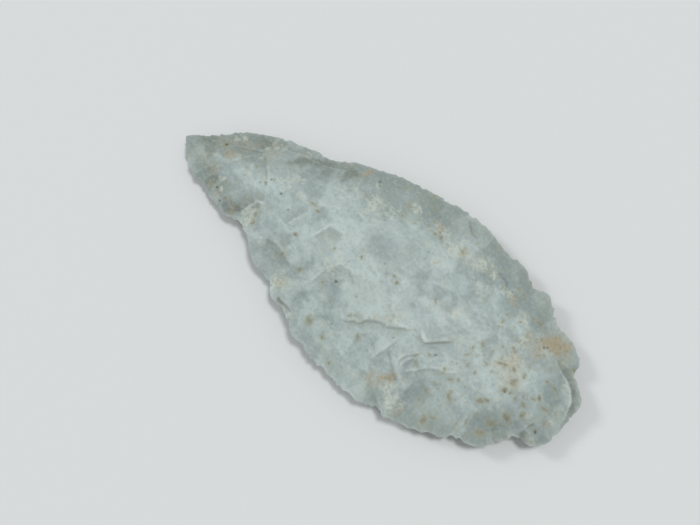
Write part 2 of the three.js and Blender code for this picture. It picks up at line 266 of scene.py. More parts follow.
BLOTCHES = [
    (-24.1, 7.7, 2.6), (-22.8, 5.5, 2.2), (-0.7, 4.5, 3.6), (-1.8, -11.1, 2.4), (-0.9, -5.4, 1.6),
    (5.4, 1.3, 1.1), (-15.4, 1.9, 2.0), (-10.7, -8.7, 2.2), (-17.4, -8.0, 1.6), (-12.0, -12.8, 2.2),
    (13.7, -1.1, 1.4), (19.9, 4.1, 2.2), (24.0, 9.2, 2.6), (16.5, 4.8, 2.0), (31.4, 12.7, 2.4),
    (12.3, 5.0, 2.2), (33.4, 1.8, 2.4), (27.1, 17.2, 2.0), (17.6, 13.1, 2.4), (26.5, -15.3, 2.6),
    (42.0, 6.5, 2.0), (53.0, -5.5, 2.2), (35.9, 7.3, 1.6), (-48.1, 2.6, 1.0), (-47.0, -6.9, 1.6),
    (-37.0, -10.7, 1.0), (45.0, -3.0, 3.0), (50.5, 3.5, 2.6), (48.5, -9.0, 2.4),
]
CLOUDS = [
    (-26.1, 5.6, 1.8), (-27.0, 2.3, 1.8), (-15.4, 9.9, 2.2), (-8.6, 13.6, 2.4), (-13.0, -16.6, 1.8),
    (-5.7, -7.5, 2.0), (-3.5, 13.2, 2.2), (-38.5, 8.4, 1.4), (-29.0, 12.9, 1.4), (13.7, 16.1, 1.8),
    (20.1, 16.5, 1.6), (24.7, 13.0, 1.8), (32.0, 7.6, 1.0), (38.9, 8.7, 2.0), (11.6, -5.0, 2.0),
    (12.1, 9.9, 1.6), (23.9, 17.8, 1.2), (-39.8, -8.7, 1.0), (-29.8, -8.6, 2.0), (23.0, -20.0, 2.2),
    (52.2, 6.0, 1.0), (53.8, 2.5, 1.1), (54.2, -1.5, 1.0), (38.8, 2.0, 3.4), (41.2, -1.2, 2.4),
    (-45.5, 4.6, 1.6), (-41.0, -6.0, 1.2), (-35.0, 10.4, 1.3), (-10.5, 17.0, 1.3), (1.0, 18.4, 1.5),
    (8.4, 18.8, 1.6), (29.0, 15.4, 1.5), (34.5, 12.6, 1.3),
]
# Olive spots, some of them painted shade on faces tilted away from the light along the base bevel and the
# upper shoulder
OLIVE_AND_SHADE_SPOTS = [
    (-28.1, 11.5, 2.4), (-24.1, 12.8, 2.2), (-17.6, 15.5, 2.2), (-42.7, -8.1, 1.4), (-34.4, -9.2, 1.4),
    (51.5, -8.0, 1.4), (54.0, 7.4, 1.0), (-50.0, 0.0, 3.0), (-39.0, 9.0, 2.0),
]

# Small freckles: reach of each zone along and across the blade with the count in it, radius, strength
FRECKLE_ZONES = [
    ((28, 54), (-18, 14), 170),
    ((-54, -26), (-11, 11), 45),
    ((-20, 45), (13, 24), 70),
    ((-20, 40), (-24, 10), 50),
]
FRECKLE_RADIUS = (0.20, 0.52)
FRECKLE_STRENGTH = (0.35, 1.0)

# Freckles are long one way, and swing about it from place to place
FRECKLE_TURN = math.radians(-20)
FRECKLE_SWING = math.radians(50)
FRECKLE_STRETCH = 1.5
SWING_BY_PLACE = (7, 3)

# How spots lose their round shape: shift and size of each waver
FRECKLE_WANDER = [(0.5, 1.4), (0.25, 0.6)]
PIT_WANDER = [(0.12, 0.5)]
STAIN_WANDER = [(1.3, 2.6), (0.6, 1.1), (0.3, 0.5)]
LARGE_WANDER = [(2.2, 4.0), (1.0, 1.6), (0.35, 0.7)]

# Kinds of spot: seed counted from that of the face, wavers, turn, stretch
SpotKind = namedtuple("SpotKind", "seed wander turn stretch", defaults=(0.0, 1.0))
SPOT_KINDS = {
    "stain": SpotKind(0, STAIN_WANDER),
    "freckle": SpotKind(5, FRECKLE_WANDER, FRECKLE_TURN, FRECKLE_STRETCH),
    "pit": SpotKind(9, PIT_WANDER),
    "blotch": SpotKind(13, LARGE_WANDER),
    "cloud": SpotKind(17, LARGE_WANDER),
    "olive_and_shade": SpotKind(21, LARGE_WANDER),
}
TOP_SEED = 10
UNDER_SEED = 60
SPOT_REACH = 3

# Scatters that fill in the rest, and the whole underside: count and radius
TINY_PITS = (30, (0.12, 0.20))
UNDER_STAINS = (16, (0.8, 3.0))
UNDER_PATCHES = (22, (1.5, 4.0))
SCATTER_ALONG = (-52, 54)
SCATTER_ACROSS = (-22, 22)
SCATTER_STRENGTH = (0.4, 1)

# Noise: cells before it repeats, width of a cell against the size of a bump, and height
NOISE_CELLS = 256
NOISE_CELL = 1.4
NOISE_GAIN = 1.5

# Repeatable picks, as in the CAD source, and the least values to divide by
PICK_FACTOR = 16807
PICK_RANGE = 2147483647
LEAST_CROSS = 1e-12
LEAST_ROUNDING = 1e-9

# Camera of the photograph, as far as it can be estimated: place, then angles in degrees
CAMERA_PLACE = (22.685, -33.924, 160.0)
CAMERA_AZIMUTH = 39.6
CAMERA_ELEVATION = 75.0
CAMERA_VIEW_ACROSS = 54.0
CAMERA_NEAREST = 5.0

# Studio: where the lights come from, their strengths, and their spread in degrees
KEY_FROM = (140.0, 320.0, 1200.0)
KEY_STRENGTH = 1.16
SIDE_FROM = (-1250.0, -250.0, 850.0)
SIDE_STRENGTH = 0.74
LIGHT_SPREAD = 14.0
SKY_COLOUR = (1.0, 1.0, 1.0, 1.0)
SKY_STRENGTH = 0.42
FLOOR_SIZE = 60000.0


# Helpers

def lerp(low, high, share):
    return low + (high - low) * share


def smoothstep(value, low, high):
    share = np.clip((value - low) / (high - low), 0, 1)
    return share * share * (3 - 2 * share)


def wave(size_and_length, place):
    size, length = size_and_length
    return size * np.sin(2 * np.pi * place / length)


def picker(seed):
    """Repeatable picks between a low and a high value, the same as in the CAD source."""
    state = seed

    def pick(ends):
        nonlocal state
        state = state * PICK_FACTOR % PICK_RANGE
        return lerp(*ends, state / PICK_RANGE)

    return pick


def noise(x, y, size, seed):
    """Smooth noise, mostly between -1 and 1, whose bumps are about one size across."""
    angles = np.random.default_rng(seed).uniform(0, 2 * np.pi, (NOISE_CELLS, NOISE_CELLS))
    slope_u, slope_v = np.cos(angles), np.sin(angles)
    u, v = x / (NOISE_CELL * size), y / (NOISE_CELL * size)
    i, j = np.floor(u).astype(int), np.floor(v).astype(int)
    s, t = u - i, v - j

    def from_corner(right, up):
        corner = (i + right) % NOISE_CELLS, (j + up) % NOISE_CELLS
        return slope_u[corner] * (s - right) + slope_v[corner] * (t - up)

    across, along = smoothstep(s, 0, 1), smoothstep(t, 0, 1)
    near = lerp(from_corner(0, 0), from_corner(1, 0), across)
    far = lerp(from_corner(0, 1), from_corner(1, 1), across)
    return NOISE_GAIN * lerp(near, far, along)


# Outline and columns

def trace(knots, corners=0.0):
    """A closed loop of short straight pieces through the points, smooth or with some corner at each."""
    before, after, beyond = np.roll(knots, 1, 0), np.roll(knots, -1, 0), np.roll(knots, -2, 0)

    def gap(a, b):
        return np.sqrt(np.linalg.norm(b - a, axis=1))[:, None]

    d0, d1, d2 = gap(before, knots), gap(knots, after), gap(after, beyond)
    start = ((knots - before) / d0 - (after - before) / (d0 + d1) + (after - knots) / d1) * d1
    stop = ((after - knots) / d1 - (beyond - knots) / (d1 + d2) + (beyond - after) / d2) * d1
    w = np.arange(SPAN_STEPS)[:, None, None] / SPAN_STEPS
    square = -3 * knots + 3 * after - 2 * start - stop
    cube = 2 * knots - 2 * after + start + stop
    curved = knots + start * w + square * w**2 + cube * w**3
    points = lerp(curved, lerp(knots, after, w), corners).transpose(1, 0, 2).reshape(-1, 2)
    return np.vstack([points, points[:1]])


def soften(knots):
    for _ in range(SOFTENINGS):
        knots = (np.roll(knots, 1, 0) + 2 * knots + np.roll(knots, -1, 0)) / 4
    return knots


EDGE = trace(OUTLINE, CORNERS)
LEAF = trace(soften(OUTLINE))


def reach_to(loop, origins, directions):
    """Distance from points inside a loop to the loop, each along its direction."""
    a, e = loop[:-1], np.diff(loop, axis=0)
    off = a[None] - origins[:, None]
    dx, dy = directions[:, :1], directions[:, 1:]
    cross = dx * e[:, 1] - dy * e[:, 0]
    cross = np.where(np.abs(cross) < LEAST_CROSS, LEAST_CROSS, cross)
    along = (off[..., 0] * e[:, 1] - off[..., 1] * e[:, 0]) / cross
    share = (off[..., 0] * dy - off[..., 1] * dx) / cross
    return np.where((share >= 0) & (share <= 1), along, 0).max(axis=1)


def spine_point(share):
    return lerp(SPINE_TIP, SPINE_BASE, np.asarray(share)[..., None])


def fullness(x):
    return 1 - TAPER * ((x - THICKEST_X) / TAPER_RUN) ** 2


def make_columns():
    """Columns from the outline in to the crest, counter-clockwise: tip, lower side, base, upper side."""
    stations = np.arange(1, SIDE_STEPS)
    right = np.full(SIDE_STEPS - 1, np.pi / 2)
    tip_angles = np.pi / 2 + np.pi * np.arange(TIP_RAYS + 1) / TIP_RAYS
    base_angles = -np.pi / 2 + np.pi * np.arange(BASE_RAYS + 1) / BASE_RAYS
    tip, base = np.zeros(TIP_RAYS + 1), np.full(BASE_RAYS + 1, SIDE_STEPS)
    station = np.concatenate([tip, stations, base, stations[::-1]])
    angle = np.concatenate([tip_angles, -right, base_angles, right])
    inner = spine_point(station / SIDE_STEPS)
    direction = np.stack([np.cos(angle), np.sin(angle)], axis=1)
    reach = reach_to(EDGE, inner, direction)
    stretch = np.minimum(MAX_STRETCH, reach / reach_to(LEAF, inner, direction))
    return {"inner": inner, "direction": direction, "reach": reach, "stretch": stretch,
            "station": station.astype(int)}


# Flake scars

def scar_row(side, start, stop, count, reach, lean, depth, seed):
    pick = picker(seed)
    pitch = (stop - start) / count
    scars = []
    for i in range(count):
        x = start + (i + pick(PLACE_SPREAD)) * pitch
        crest = spine_point((x - SPINE_TIP[0]) / (SPINE_BASE[0] - SPINE_TIP[0]))
        to_edge = reach_to(EDGE, crest[None], np.array([[0.0, side]]))[0]
        length = reach * to_edge * pick(LENGTH_SPREAD)
        struck = (x, crest[1] + side * to_edge)
        ends = (x + lean * length, crest[1] + side * (to_edge - length))
        width = ROW_WIDTH * pitch * pick(WIDTH_SPREAD)
        scars.append((struck, ends, width, depth * pick(DEPTH_SPREAD), ROW_END))
    return scars


def dish(scar, x, y):
    """Depth of one scar, below zero outside it."""
    struck, ends, width, depth, end = scar
    ax, ay = ends[0] - struck[0], ends[1] - struck[1]
    length = math.hypot(ax, ay)
    along = ((x - struck[0]) * ax + (y - struck[1]) * ay) / length**2
    across = ((y - struck[1]) * ax - (x - struck[0]) * ay) / length / (width / 2)
    back = ((BULB - along) / BACK_REACH) ** 2
    ahead = (np.maximum(along - BULB, 0) / (1 - BULB)) ** end
    return depth * (1 - np.where(along < BULB, back, ahead) - across**2)


def wobbled(x, y):
    wx = x + wave(BROAD_WAVE, y + BROAD_START[0]) + wave(FINE_WAVE, y + x / 2 + FINE_START[0])
    wy = y + wave(BROAD_WAVE, x + BROAD_START[1]) + wave(FINE_WAVE, x - y / 2 + FINE_START[1])
    return wx, wy


def scar_fields(scars, x, y):
    """Depth of the deepest scar with its marks, the tint of each scar, and the ridges between scars."""
    wx, wy = wobbled(x, y)
    deepest, second, owner = np.zeros_like(x), np.full_like(x, -1), np.full(x.shape, -1)
    for number, scar in enumerate(scars):
        depth = dish(scar, wx, wy)
        second = np.maximum(second, np.minimum(depth, deepest))
        owner = np.where(depth > deepest, number, owner)
        deepest = np.maximum(deepest, depth)
    gap = deepest - second
    rounded = deepest + RIDGE_ROUNDING / 4 * np.maximum(0, 1 - gap / RIDGE_ROUNDING) ** 2

    struck = np.array([scar[0] for scar in scars] + [(0, 0)])[owner]
    dx, dy = wx - struck[..., 0], wy - struck[..., 1]
    away, turn = np.hypot(dx, dy), np.arctan2(dy, dx)
    marked = np.clip(deepest / FULL_MARKS_DEPTH, 0, 1)
    flutes = FLUTE[0] * noise(turn * FLUTE_REACH, away * FLUTE[1] / FLUTE_LENGTH, FLUTE[1], TINT_SEED)
    marks = (wave(RIPPLE, away) + flutes) * marked
    tints = np.random.default_rng(TINT_SEED).uniform(-1, 1, len(scars) + 1)
    return rounded * fullness(x), marks, tints[owner] * marked, np.exp(-((gap / RIDGE_LINE) ** 2))


def scar_rows(rows):
    return [scar for row in rows for scar in scar_row(*row)]


TOP_SCARS = SINGLE_SCARS + scar_rows(TOP_ROWS)
UNDER_SCARS = scar_rows(UNDER_ROWS)
TOP_TRIM = scar_rows(TOP_TRIM_ROWS)
UNDER_TRIM = scar_rows(UNDER_TRIM_ROWS)


def scallops(along, pick, pitch, depth):
    """Where small flakes along the edge meet, and how deep their bites are all along it."""
    cuts = [0.0]
    while cuts[-1] < along[-1]:
        cuts.append(cuts[-1] + pick(pitch))
    cuts = np.array(cuts)
    depths = np.array([lerp(*depth, pick((0, 1)) ** BITE_RARITY) for _ in cuts])
    bite = np.clip(np.searchsorted(cuts, along, side="right") - 1, 0, len(cuts) - 2)
    share = ((along - cuts[bite]) / (cuts[bite + 1] - cuts[bite])) ** BITE_SKEW
    return cuts, depths[bite] * (1 - (2 * share - 1) ** 2)


def bite_edge(columns):
    """Bites the outline in small scallops and returns the retouch scars of both faces."""
    inner, direction = columns["inner"], columns["direction"]
    outer = inner + direction * columns["reach"][:, None]
    along = np.concatenate([[0], np.cumsum(np.linalg.norm(np.diff(outer, axis=0), axis=1))])
    pick = picker(BITE_SEED)
    cuts, bites = scallops(along, pick, BITE_PITCH, BITE_DEPTH)
    bites = bites + scallops(along, pick, NIBBLE_PITCH, NIBBLE_DEPTH)[1]
    columns["zigzag"] = ZIGZAG[0] * noise(along, np.zeros_like(along), ZIGZAG[1], BITE_SEED)
    columns["reach"] = columns["reach"] + bites.mean() - bites

    def retouch():
        scars = []
        for k in range(len(cuts) - 1):
            i = min(np.searchsorted(along, (cuts[k] + cuts[k + 1]) / 2), len(along) - 1)
            ends = outer[i] - direction[i] * pick(RETOUCH_LENGTH)
            width = RETOUCH_WIDTH * (cuts[k + 1] - cuts[k])
            scars.append((tuple(outer[i]), tuple(ends), width, pick(RETOUCH_DEPTH), ROW_END))
        return scars

    return retouch(), retouch()


def retouch_fields(scars, x, y):
    """Depth of the deepest retouch scar, and the tint of each scar."""
    depth, tint = np.zeros_like(x), np.zeros_like(x)
    tones = np.random.default_rng(BITE_SEED).uniform(-1, 1, len(scars))
    for scar, tone in zip(scars, tones):
        reach = scar[2] + math.dist(scar[0], scar[1])
        near = (np.abs(x - scar[0][0]) < reach) & (np.abs(y - scar[0][1]) < reach)
        cut = dish(scar, x[near], y[near])
        tint[near] = np.where(cut > depth[near], tone * np.clip(cut / FULL_TINT_DEPTH, 0, 1), tint[near])
        depth[near] = np.maximum(depth[near], cut)
    return depth, tint


def held_below(value, limit):
    """The smaller of two values, rounded where they meet."""
    rounding = LIMIT_ROUNDING * limit + LEAST_ROUNDING
    over = np.maximum(0, rounding - np.abs(value - limit))
    return np.minimum(value, limit) - over**2 / (4 * rounding)


# Step lines

def line_field(points, x, y):
    """Distance to a line, above zero on its left, and how far along it the nearest point is."""
    points = np.array(points)
    lengths = np.linalg.norm(np.diff(points, axis=0), axis=1)
    starts = np.concatenate([[0], np.cumsum(lengths)])
    nearest, signed, share = np.full_like(x, np.inf), np.zeros_like(x), np.zeros_like(x)
    for a, b, start, length in zip(points[:-1], points[1:], starts, lengths):
        ux, uy = (b - a) / length
        along = np.clip((x - a[0]) * ux + (y - a[1]) * uy, 0, length)
        distance = np.hypot(x - a[0] - ux * along, y - a[1] - uy * along)
        left = ux * (y - a[1]) - uy * (x - a[0])
        closer = distance < nearest
        signed = np.where(closer, np.where(left > 0, distance, -distance), signed)
        share = np.where(closer, (start + along) / starts[-1], share)
        nearest = np.minimum(nearest, distance)
    return signed, share


def step_fields(x, y):
    """Depth of the step lines, and where their borders get a painted highlight, splinters, painted shade at
    the foot and painted shade on the low side.
    """
    depth = np.zeros_like(x)
    fields = {name: np.zeros_like(x) for name in ("pale", "feather", "painted_foot_shade", "shade")}
    for number, step in enumerate(STEPS):
        shift_x, shift_y = (step.jag * noise(x, y, JAG_SIZE, seed + number) for seed in JAG_SEEDS)
        signed, share = line_field(step.points, x + shift_x, y + shift_y)
        ends = smoothstep(share, 0, STEP_ENDS) * smoothstep(1 - share, 0, STEP_ENDS)
        wall = smoothstep(signed, -step.wall / 2, step.wall / 2)
        depth += step.drop * wall * np.exp(-((np.maximum(signed, 0) / step.run) ** 2)) * ends
        # A painted highlight along the upper border of each wall
        border = np.exp(-(((signed + step.wall / 2 + step.lip_width / 2) / step.lip_width) ** 2))
        # Painted shade along the foot of each wall
        foot = np.exp(-(((signed - step.wall / 4) / max(step.wall / 2, FINEST_LINE)) ** 2))
        splinters = smoothstep(-signed, 0, step.lip_width) * np.exp(-((signed / FEATHER_WIDTH) ** 2))
        low = wall * np.exp(-((np.maximum(signed, 0) / (SHADE_REACH * step.run)) ** 2))
        marks = {"pale": step.lip * border, "feather": step.feather * splinters,
                 "painted_foot_shade": step.soil * foot, "shade": step.shade * low}
        for name, value in marks.items():
            fields[name] = np.maximum(fields[name], value * ends)
    return depth, fields


# Colour fields

def spots(x, y, places, kind, seed):
    """Soft uneven spots of one kind: the strongest of them at each place."""
    jx, jy, margin = x, y, 0
    for number, (shift, size) in enumerate(kind.wander):
        jx = jx + shift * noise(x, y, size, seed + number)
        jy = jy + shift * noise(x, y, size, seed + number + len(kind.wander))
        margin += shift
    field = np.zeros_like(x)
    for px, py, radius, strength in places:
        near = np.maximum(np.abs(x - px), np.abs(y - py)) < SPOT_REACH * radius * kind.stretch + margin
        dx, dy = jx[near] - px, jy[near] - py
        angle = kind.turn + FRECKLE_SWING * math.sin(SWING_BY_PLACE[0] * px + SWING_BY_PLACE[1] * py)
        along = (dx * math.cos(angle) + dy * math.sin(angle)) / kind.stretch
        across = dy * math.cos(angle) - dx * math.sin(angle)
        field[near] = np.maximum(field[near], strength * np.exp(-(along**2 + across**2) / radius**2))
    return field


def drawn(rng, count, *spans):
    """Spots drawn at random: place along and across, radius, strength."""
    return [tuple(rng.uniform(*span) for span in spans) for _ in range(count)]


def freckles(seed):
    rng = np.random.default_rng(seed)
    zones = [drawn(rng, count, along, across, FRECKLE_RADIUS, FRECKLE_STRENGTH)
             for along, across, count in FRECKLE_ZONES]
    return [spot for zone in zones for spot in zone]


def scatter(seed, count, radius):
    return drawn(np.random.default_rng(seed), count, SCATTER_ALONG, SCATTER_ACROSS, radius, SCATTER_STRENGTH)


def full(places):
    """Spots at full strength."""
    return [(px, py, radius, 1.0) for px, py, radius in places]


def top_spots(seed):
    """The photograph's own spots, with small freckles and pits scattered between them."""
    return {
        "stain": STAINS,
        "freckle": freckles(seed + 1) + full(FRECKLES),
        "pit": scatter(seed, *TINY_PITS) + full(PITS),
        "blotch": full(BLOTCHES),
        "cloud": full(CLOUDS),
        "olive_and_shade": full(OLIVE_AND_SHADE_SPOTS),
    }


def under_spots(seed):
    """Scattered spots for the face that the photograph doesn't show."""
    return {
        "stain": scatter(seed + 2, *UNDER_STAINS),
        "freckle": freckles(seed + 1),
        "pit": scatter(seed, *TINY_PITS),
        "blotch": scatter(seed + 3, *UNDER_PATCHES),
        "cloud": scatter(seed + 4, *UNDER_PATCHES),
        "olive_and_shade": scatter(seed + 5, *UNDER_PATCHES),
    }


def colour_fields(x, y, on_top):
    """How much of each kind of spot there is at each place."""
    seed = TOP_SEED if on_top else UNDER_SEED
    places = top_spots(seed) if on_top else under_spots(seed)
    return {name: spots(x, y, places[name], kind, seed + kind.seed) for name, kind in SPOT_KINDS.items()}


def cleanness_and_light(x, y, from_edge):
    """How free of patina and painted shade the stone is: 1 in the middle, 0 at the edge, and between along
    the lower side.
    """
    below = smoothstep(-y, *PALE_FROM_CREST)
    between_ends = smoothstep(x, *PALE_FROM_TIP) * smoothstep(-x, *PALE_FROM_BASE)
    drift = PATINA_AND_SHADE_DRIFT * noise(x, y, PATINA_AND_SHADE_DRIFT, PATINA_AND_SHADE_SEED)
    border = 1 - smoothstep(from_edge + drift, 0, PATINA_AND_SHADE_WIDTH)
    return 1 - border * (1 - PALE_SIDE * below * between_ends)


# Faces

def edge_line(x):
    tip_sink = TIP_SINK * smoothstep(-x, SINK_START, SINK_END)
    base_sink = BASE_SINK * smoothstep(x, SINK_START, SINK_END)
    return EDGE_HEIGHT - tip_sink - base_sink


def grain(x, y, seed):
    """Height of the fine unevenness of the surface."""
    height = np.zeros_like(x)
    for number, (size, length) in enumerate(GRAINS):
        height += size * noise(x, y, length, seed + number)
    return height


def face(columns, rings, on_top, retouch):
    """Points of one face, a row for each ring from the edge in to the crest, and its colour fields."""
    inner, direction, reach = columns["inner"], columns["direction"], columns["reach"]
    outer = inner + direction * reach[:, None]
    edge_x, edge_y = outer[:, 0], outer[:, 1]
    inward = ((np.arange(rings + 1) / rings) ** RING_CROWDING)[:, None]
    from_edge = inward * reach
    x, y = lerp(edge_x, inner[:, 0], inward), lerp(edge_y, inner[:, 1], inward)

    # The plain lens, with an edge that follows the scars of both faces
    top_cut, under_cut = (scar_fields(scars, edge_x, edge_y)[0] for scars in (TOP_SCARS, UNDER_SCARS))
    ease = np.maximum(0, 1 - inward / EDGE_EASE) ** 2
    outward = (1 - inward) * lerp(1, columns["stretch"], smoothstep(inward, 0, LEAF_TAKES_OVER))
    middle = edge_line(x) + wave(EDGE_WAVE, x + y + wave(EDGE_WANDER, x - y)) * (1 - inward) ** 2
    middle = middle + SCAR_GAIN * (under_cut - top_cut) / 2 * ease
    middle = middle + columns["zigzag"] * np.exp(-from_edge / ZIGZAG_WIDTH)
    power, height = (TOP_POWER, TOP_RISE) if on_top else (UNDER_POWER, UNDER_DROP)
    rise = height * fullness(x) * (1 - outward**power)

    # Scars, step lines and their colour fields
    fields = colour_fields(x, y, on_top)
    fields["worn"] = np.exp(-from_edge / WEAR_WIDTH)
    # Patina with painted shade, darker towards the borders
    fields["clean_and_lit"] = cleanness_and_light(x, y, from_edge)
    scars, marks, scar_tint, fields["ridge"] = scar_fields(TOP_SCARS if on_top else UNDER_SCARS, x, y)
    trim, trim_marks, trim_tint, _ = scar_fields(TOP_TRIM if on_top else UNDER_TRIM, x, y)
    retouched, retouch_tint = retouch_fields(retouch, x, y)
    fields["facet"] = scar_tint + trim_tint + retouch_tint
    steps, step_marks = step_fields(x, y)
    for name, values in step_marks.items():
        fields[name] = values * on_top

    # All that is cut away, which leaves a share of the thickness
    texture = marks + trim_marks + PIT_DEPTH * fields["pit"]
    texture = texture + grain(x, y, TOP_GRAIN_SEED if on_top else UNDER_GRAIN_SEED)
    cut = SCAR_GAIN * (scars - (top_cut if on_top else under_cut) * ease)
    cut = cut + np.minimum(trim + retouched, RETOUCH_SHARE * rise)
    cut = cut + np.minimum(steps * on_top, STEP_SHARE * rise)
    cut = held_below(cut + texture * smoothstep(inward, 0, FULL_TEXTURE), (1 - THINNEST) * rise)
    z = middle + rise - cut if on_top else np.maximum(0, middle - rise + cut)
    return np.stack([x, y, z], axis=-1), fields


def face_quads(columns, rings, first, crest, on_top):
    """Corner numbers of one face: the edge ring, its own rings, then the crest."""
    count = len(columns["station"])
    i = np.arange(count)
    rows = [i] + [first + ring * count + i for ring in range(rings - 1)] + [crest + columns["station"]]
    quads, triangles = [], []
    for low, high in zip(rows[:-1], rows[1:]):
        corners = np.stack([low, np.roll(low, -1), np.roll(high, -1), high], axis=1)
        pinched = corners[:, 2] == corners[:, 3]
        quads.append(corners[~pinched])
        triangles.append(corners[pinched][:, :3])
    turn = 1 if on_top else -1
    return np.vstack(quads)[:, ::turn].tolist() + np.vstack(triangles)[:, ::turn].tolist()


def make_blade():
    columns = make_columns()
    top_retouch, under_retouch = bite_edge(columns)
    top, top_fields = face(columns, TOP_RINGS, True, top_retouch)
    under, under_fields = face(columns, UNDER_RINGS, False, under_retouch)
    count = len(columns["station"])
    crest_columns = np.unique(columns["station"], return_index=True)[1]

    def gather(top_values, under_values):
        parts = [top_values[0], *top_values[1:-1], top_values[-1][crest_columns]]
        parts += [*under_values[1:-1], under_values[-1][crest_columns]]
        return np.concatenate(parts)

    top_crest = count * TOP_RINGS
    under_first = top_crest + SIDE_STEPS + 1
    under_crest = under_first + count * (UNDER_RINGS - 1)
    faces = face_quads(columns, TOP_RINGS, count, top_crest, True)
    faces += face_quads(columns, UNDER_RINGS, under_first, under_crest, False)
    mesh = bpy.data.meshes.new("chipped_blade")
    mesh.from_pydata((gather(top, under) * MM).tolist(), [], faces)
    for name in top_fields:
        values = gather(top_fields[name], under_fields[name])
        mesh.attributes.new(name, "FLOAT", "POINT").data.foreach_set("value", values.astype(np.float32))
    mesh.shade_smooth()
    mesh.set_sharp_from_angle(angle=math.radians(SHARP_ANGLE))
    blade = bpy.data.objects.new("chipped_blade", mesh)
    bpy.context.scene.collection.objects.link(blade)
    return blade


# Materials

def srgb(red, green, blue):
    """A screen colour, from 0 to 255, as the linear colour that nodes use."""
    parts = [c / 255 for c in (red, green, blue)]
    return tuple(c / 12.92 if c <= 0.04045 else ((c + 0.055) / 1.055) ** 2.4 for c in parts) + (1.0,)


CHERT = srgb(174, 190, 187)
CHERT_PALE = srgb(202, 216, 213)
CHERT_GREY = srgb(133, 148, 147)
CREAM = srgb(199, 205, 190)
OLIVE_AND_SHADE = srgb(114, 123, 114)
OCHRE = srgb(170, 157, 126)
TAN = srgb(163, 164, 142)
BROWN = srgb(119, 119, 99)
MAUVE = srgb(160, 171, 173)
MOSS = srgb(173, 185, 171)
MOSS_GREY = srgb(131, 143, 137)
LIP = srgb(224, 232, 228)
SOIL_AND_SHADE = srgb(92, 94, 84)
PIT = srgb(48, 48, 44)
FLOOR_COLOUR = srgb(224, 228, 228)
FLOOR_ROUGHNESS = 0.9

# Layers of colour over the plain chert, in order: pattern, where it begins, where it is full, share, tone
LAYERS = [
    ("mottle", 0.50, 0.58, 0.38, CHERT_PALE),
    ("mottle", 0.46, 0.39, 0.34, CHERT_GREY),
    ("mauve", 0.52, 0.68, 0.50, MAUVE),
    ("moss", 0.52, 0.68, 0.60, MOSS),
    ("cream", 0.52, 0.68, 0.60, CREAM),
    # Patina darkens the borders together with painted shade that falls off towards them, and the middle is
    # painted lighter
    ("clean_and_lit", 0.70, 0.00, 0.85, MOSS_GREY),
    ("clean_and_lit", 0.70, 1.00, 0.20, CHERT_PALE),
    ("facet", 0.00, 1.00, 0.24, CHERT_PALE),
    ("facet", 0.00, -1.00, 0.25, CHERT_GREY),
    ("blotch", 0.12, 0.62, 0.56, CHERT_GREY),
    ("cloud", 0.12, 0.62, 0.60, CREAM),
    # Olive spots, partly painted shade, and painted shade on the low side of step lines
    ("olive_and_shade", 0.12, 0.62, 0.75, OLIVE_AND_SHADE),
    ("shade", 0.12, 0.62, 0.85, OLIVE_AND_SHADE),
    ("dust", 0.50, 0.70, 0.24, CHERT_PALE),
    ("dust", 0.48, 0.30, 0.34, CHERT_GREY),
    ("specks", 0.00, 1.00, 0.20, SOIL_AND_SHADE),
    # Paler lines along the ridges between scars: partly wear, partly a painted highlight
    ("ridge", 0.00, 1.00, 0.08, LIP),
    ("worn", 0.00, 1.00, 0.20, LIP),
    ("stain", 0.05, 0.80, 0.90, OCHRE),
    ("rust", 0.00, 1.00, 0.60, BROWN),
    ("freckle", 0.05, 0.70, 0.80, TAN),
    ("freckle", 0.30, 0.95, 0.75, BROWN),
    # Painted highlight on the upper border of the step lines
    ("pale", 0.00, 1.00, 0.55, LIP),
    ("splinters", 0.00, 1.00, 0.70, LIP),
    ("cracks", 0.00, 1.00, 0.40, SOIL_AND_SHADE),
    # Painted shade at the foot of the step walls
    ("painted_foot_shade", 0.00, 1.00, 0.60, SOIL_AND_SHADE),
    ("pit", 0.00, 1.00, 1.00, PIT),
]

# Noise of the stone: size in millimetres, detail, roughness, seed
CLOUD_NOISE = (8.0, 6.0, 0.64)
MOTTLE_NOISE = (2.3, 5.0, 0.65)
DUST_NOISE = (0.8, 3.0, 0.6)
FINE_NOISE = (0.35, 4.0, 0.7)
TONE_NOISES = {
    "mauve": (5.0, 5.0, 0.68, 1.0),
    "moss": (6.0, 5.0, 0.68, 2.0),
    "cream": (3.5, 5.0, 0.68, 3.0),
}
DISTORTION = 0.25

# Ramps over noise: where they begin, where they are full, and their values at both
CLOUD_RAMP = (0.42, 0.53, 0.45, 1.0)
PATCHY_RAMP = (0.38, 0.54, 0.35, 1.0)
GRAINY_RAMP = (0.30, 0.62, 0.40, 1.0)
FLECKED_RAMP = (0.40, 0.56, 0.25, 1.0)
STAIN_RAMP = (0.32, 0.52, 0.50, 1.0)
ROUGHNESS_RAMP = (0.30, 0.70, 0.50, 0.66)
RUST_RAMP = (0.50, 0.36)
SPLINTER_RAMP = (0.50, 0.66)
CRACK_RAMP = (0.47, 0.34)
SPECK_RAMP = (0.60, 0.66)

# Streaks, splinters, specks and shine
STREAK_TURN = (0.0, 0.0, math.radians(-15))
STREAK_STRETCH = (1.8, 1.0, 1.0)
SPLINTER_TURN = (0.0, 0.0, math.radians(70))
SPLINTER_SIZE = (0.55 * MM, 1.6 * MM, 1.0)
SPLINTER_DETAIL = 4.0
SPECK_SPACING = 1.7
SPECK_RADIUS = 0.26
BUMP_STRENGTH = 0.35
BUMP_HEIGHT = 0.05
SPECULAR = 0.4

# Sockets of a colour mix: share and both colours, then the result
MIX_INPUTS = (0, 6, 7)
MIX_RESULT = 2


def put(tree, socket, value):
    """Links an input to another node's output, or sets it to a plain value."""
    if isinstance(value, bpy.types.NodeSocket):
        tree.links.new(value, socket)
    else:
        socket.default_value = value


